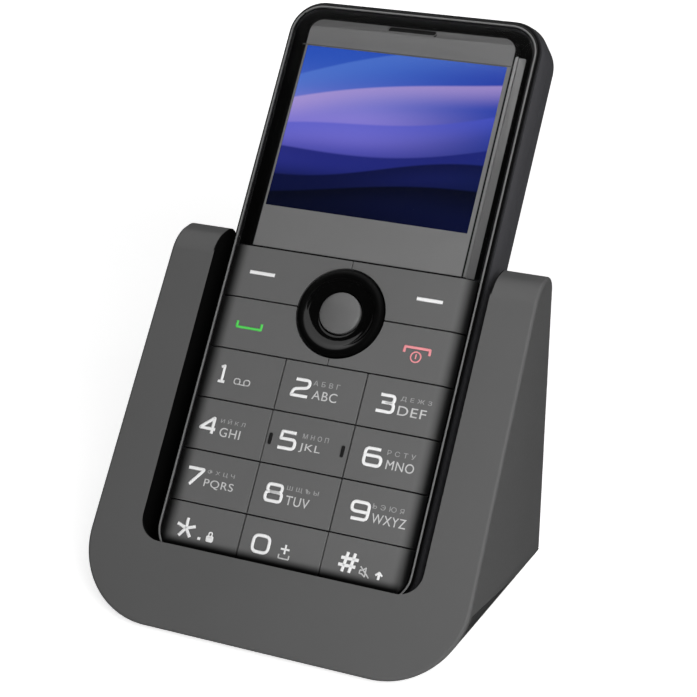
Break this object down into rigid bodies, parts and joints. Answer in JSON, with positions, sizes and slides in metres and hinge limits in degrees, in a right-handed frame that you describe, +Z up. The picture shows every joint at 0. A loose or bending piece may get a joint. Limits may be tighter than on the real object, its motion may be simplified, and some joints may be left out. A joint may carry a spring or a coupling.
{
  "type": "bar mobile phone in a desk charging cradle",
  "caption": "Bar phone with a landscape display over a full keypad, standing in a wedge-shaped desk charging cradle that it lifts out of; every key, the ring and both pins move.",
  "frame": {"origin": "on the table, under the middle of the whole object's bounding box", "axes": "+Z up, the display and the cradle's plate face -Y, +X is the viewer's right; the phone leans back 38.5 degrees"},
  "size_m": [0.0832, 0.0993, 0.1095],
  "materials": {
    "cradle_plastic": "satin",
    "base_plastic": "matt",
    "foot_rubber": "matt",
    "steel": "plain",
    "circuit_board": "solder mask",
    "socket_metal": "plated",
    "contact_gold": "gold plated",
    "housing_plastic": "satin",
    "trim_chrome": "polished",
    "lens_glass": "clear",
    "mask_print": "printed",
    "display_glass": "lit picture",
    "frame_steel": "stamped",
    "inner_plastic": "matt",
    "silicone": "matt",
    "battery_wrap": "film",
    "clear_lens": "clear",
    "key_plastic": "satin",
    "ring_plastic": "high gloss"
  },
  "bodies": {
    "cradle": {"cradle_shell": "cradle_plastic", "cradle_base": "base_plastic", "contact_block": "base_plastic", "cradle_feet": "foot_rubber", "cradle_ballast": "steel", "cradle_screws": "steel", "cradle_board": "circuit_board", "cradle_usb_socket": "socket_metal", "contact_barrels": "contact_gold"},
    "contact_pin_left": {"contact_pin_left": "contact_gold"},
    "contact_pin_right": {"contact_pin_right": "contact_gold"},
    "phone": {"front_frame": "housing_plastic", "back_cover": "housing_plastic", "rim_trim": "trim_chrome", "lens": "lens_glass", "lens_print": "mask_print", "display_panel": "display_glass", "display_tray": "frame_steel", "mid_frame": "frame_steel", "shield_cans": "frame_steel", "dome_sheet": "frame_steel", "earpiece_mesh": "frame_steel", "earpiece": "inner_plastic", "sim_holder": "inner_plastic", "loudspeaker": "inner_plastic", "microphone": "inner_plastic", "vibration_motor": "inner_plastic", "camera_module": "inner_plastic", "key_mat": "silicone", "main_board": "circuit_board", "housing_screws": "steel", "battery": "battery_wrap", "battery_contacts": "contact_gold", "charge_pads": "contact_gold", "antenna": "contact_gold", "phone_usb_socket": "socket_metal", "headphone_socket": "inner_plastic", "torch_lens": "clear_lens", "camera_window": "clear_lens"},
    "soft_key_left": {"soft_key_left": "key_plastic"},
    "soft_key_right": {"soft_key_right": "key_plastic"},
    "send_key": {"send_key": "key_plastic"},
    "end_key": {"end_key": "key_plastic"},
    "key_1": {"key_1": "key_plastic"},
    "key_2": {"key_2": "key_plastic"},
    "key_3": {"key_3": "key_plastic"},
    "key_4": {"key_4": "key_plastic"},
    "key_5": {"key_5": "key_plastic"},
    "key_6": {"key_6": "key_plastic"},
    "key_7": {"key_7": "key_plastic"},
    "key_8": {"key_8": "key_plastic"},
    "key_9": {"key_9": "key_plastic"},
    "key_star": {"key_star": "key_plastic"},
    "key_0": {"key_0": "key_plastic"},
    "key_hash": {"key_hash": "key_plastic"},
    "nav_pad": {"nav_pad": "inner_plastic"},
    "nav_ring": {"nav_ring": "ring_plastic"},
    "ok_key": {"ok_key": "key_plastic"}
  },
  "joints": [
    {"name": "phone_lift_out", "type": "slide", "parent": "cradle", "child": "phone", "axis": [0, 0.6225, 0.7826], "range_m": [0, 0.095]},
    {"name": "soft_key_left_press", "type": "slide", "parent": "phone", "child": "soft_key_left", "axis": [0, 0.7826, -0.6225], "range_m": [0, 0.0003], "stiffness_N_per_m": 300},
    {"name": "soft_key_right_press", "type": "slide", "parent": "phone", "child": "soft_key_right", "axis": [0, 0.7826, -0.6225], "range_m": [0, 0.0003], "stiffness_N_per_m": 300},
    {"name": "send_key_press", "type": "slide", "parent": "phone", "child": "send_key", "axis": [0, 0.7826, -0.6225], "range_m": [0, 0.0003], "stiffness_N_per_m": 300},
    {"name": "end_key_press", "type": "slide", "parent": "phone", "child": "end_key", "axis": [0, 0.7826, -0.6225], "range_m": [0, 0.0003], "stiffness_N_per_m": 300},
    {"name": "key_1_press", "type": "slide", "parent": "phone", "child": "key_1", "axis": [0, 0.7826, -0.6225], "range_m": [0, 0.0003], "stiffness_N_per_m": 300},
    {"name": "key_2_press", "type": "slide", "parent": "phone", "child": "key_2", "axis": [0, 0.7826, -0.6225], "range_m": [0, 0.0003], "stiffness_N_per_m": 300},
    {"name": "key_3_press", "type": "slide", "parent": "phone", "child": "key_3", "axis": [0, 0.7826, -0.6225], "range_m": [0, 0.0003], "stiffness_N_per_m": 300},
    {"name": "key_4_press", "type": "slide", "parent": "phone", "child": "key_4", "axis": [0, 0.7826, -0.6225], "range_m": [0, 0.0003], "stiffness_N_per_m": 300},
    {"name": "key_5_press", "type": "slide", "parent": "phone", "child": "key_5", "axis": [0, 0.7826, -0.6225], "range_m": [0, 0.0003], "stiffness_N_per_m": 300},
    {"name": "key_6_press", "type": "slide", "parent": "phone", "child": "key_6", "axis": [0, 0.7826, -0.6225], "range_m": [0, 0.0003], "stiffness_N_per_m": 300},
    {"name": "key_7_press", "type": "slide", "parent": "phone", "child": "key_7", "axis": [0, 0.7826, -0.6225], "range_m": [0, 0.0003], "stiffness_N_per_m": 300},
    {"name": "key_8_press", "type": "slide", "parent": "phone", "child": "key_8", "axis": [0, 0.7826, -0.6225], "range_m": [0, 0.0003], "stiffness_N_per_m": 300},
    {"name": "key_9_press", "type": "slide", "parent": "phone", "child": "key_9", "axis": [0, 0.7826, -0.6225], "range_m": [0, 0.0003], "stiffness_N_per_m": 300},
    {"name": "key_star_press", "type": "slide", "parent": "phone", "child": "key_star", "axis": [0, 0.7826, -0.6225], "range_m": [0, 0.0003], "stiffness_N_per_m": 300},
    {"name": "key_0_press", "type": "slide", "parent": "phone", "child": "key_0", "axis": [0, 0.7826, -0.6225], "range_m": [0, 0.0003], "stiffness_N_per_m": 300},
    {"name": "key_hash_press", "type": "slide", "parent": "phone", "child": "key_hash", "axis": [0, 0.7826, -0.6225], "range_m": [0, 0.0003], "stiffness_N_per_m": 300},
    {"name": "ok_key_press", "type": "slide", "parent": "phone", "child": "ok_key", "axis": [0, 0.7826, -0.6225], "range_m": [0, 0.0003], "stiffness_N_per_m": 300},
    {"name": "nav_rock_up_down", "type": "hinge", "parent": "phone", "child": "nav_pad", "pos_m": [0, -0.00249, 0.055], "axis": [1, 0, 0], "range_deg": [-2.5, 2.5], "stiffness_Nm_per_rad": 0.05},
    {"name": "nav_rock_left_right", "type": "hinge", "parent": "nav_pad", "child": "nav_ring", "pos_m": [0, -0.00352, 0.05582], "axis": [0, 0.6225, 0.7826], "range_deg": [-2.5, 2.5], "stiffness_Nm_per_rad": 0.05},
    {"name": "contact_pin_left_press", "type": "slide", "parent": "cradle", "child": "contact_pin_left", "axis": [0, -0.6225, -0.7826], "range_m": [0, 0.0008], "stiffness_N_per_m": 150},
    {"name": "contact_pin_right_press", "type": "slide", "parent": "cradle", "child": "contact_pin_right", "axis": [0, -0.6225, -0.7826], "range_m": [0, 0.0008], "stiffness_N_per_m": 150}
  ]
}
